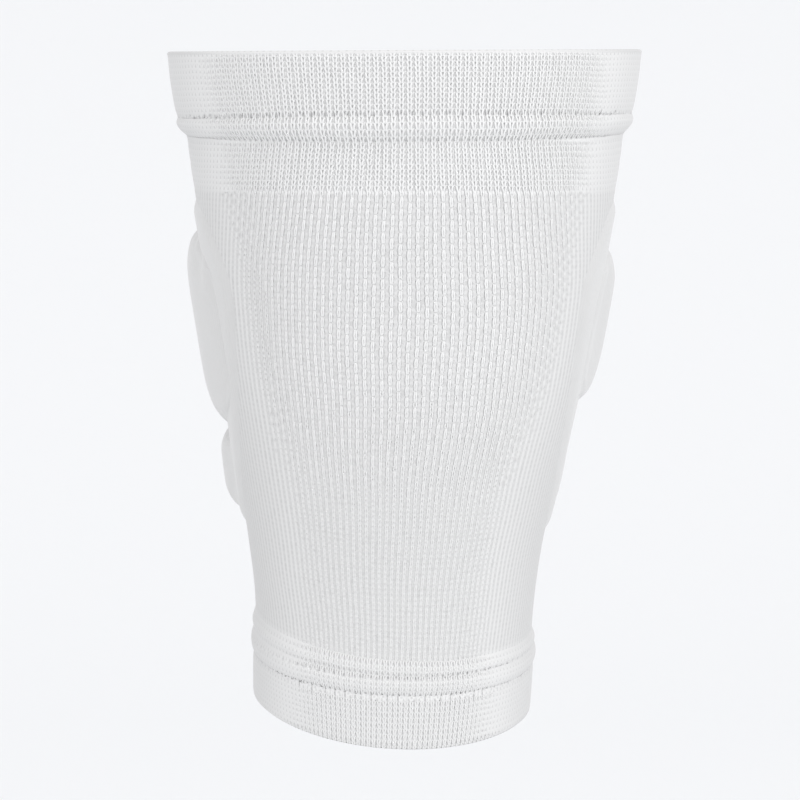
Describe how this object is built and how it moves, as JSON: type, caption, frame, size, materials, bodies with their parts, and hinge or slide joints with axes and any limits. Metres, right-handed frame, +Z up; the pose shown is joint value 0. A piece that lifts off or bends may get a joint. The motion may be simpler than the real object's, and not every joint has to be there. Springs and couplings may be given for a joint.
{
  "type": "volleyball knee pad",
  "caption": "Tapered knitted knee sleeve with turned cuffs, sewn hem ridges and a foam-padded front panel, in worn form.",
  "frame": {"origin": "on the leg's axis at half the sleeve's length, which is the mount leg", "axes": "+Z up along the leg towards the thigh, the padded front faces -Y, +X completes the frame"},
  "size_m": [0.1602, 0.1606, 0.2336],
  "materials": {
    "sleeve_knit": "white elastic rib and mesh knit",
    "cuff_knit": "white double plain knit",
    "hem_knit": "white plain knit gathered into a sewn ridge",
    "pad_cover": "smooth white fine knit over foam"
  },
  "bodies": {
    "root": {"top_cuff": "cuff_knit", "top_roll": "hem_knit", "sleeve": "sleeve_knit", "bottom_roll": "hem_knit", "bottom_cuff": "cuff_knit", "pad_panel": "pad_cover", "upper_pad": "pad_cover", "knee_pad": "pad_cover", "lower_pad": "pad_cover"}
  },
  "joints": []
}
